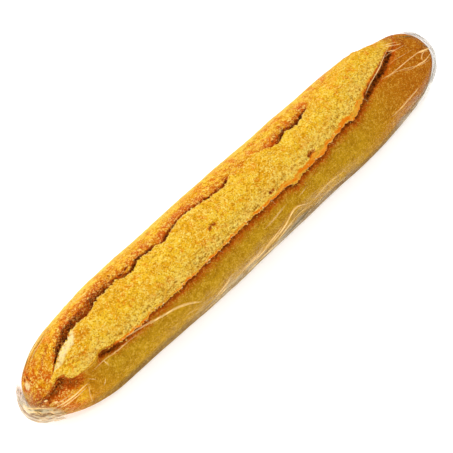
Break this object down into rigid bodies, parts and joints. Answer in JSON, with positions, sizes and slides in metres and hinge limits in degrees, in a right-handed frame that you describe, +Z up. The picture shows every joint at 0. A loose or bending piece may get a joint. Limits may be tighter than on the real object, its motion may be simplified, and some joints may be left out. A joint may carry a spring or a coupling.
{
  "type": "baguette wrapped in clear film",
  "caption": "Baguette with a long opened slash, curled crust lip and torn crack on top, sealed in clinging clear film gathered in pleats at both noses, lying on its flat base.",
  "frame": {"origin": "middle of the flat baked base, at the bottom of the bounding box", "axes": "+X along the loaf towards its blunter nose, +Y towards the torn crack, +Z up, through the slash"},
  "size_m": [0.4, 0.0714, 0.0536],
  "materials": {
    "crust": "baked golden crust, dry and finely grained, orange at the torn edges and maroon in the cracks",
    "film": "clear glossy stretch film, clinging, creased and milky where it is gathered"
  },
  "bodies": {
    "root": {"wrapped_baguette": "crust"}
  },
  "joints": []
}
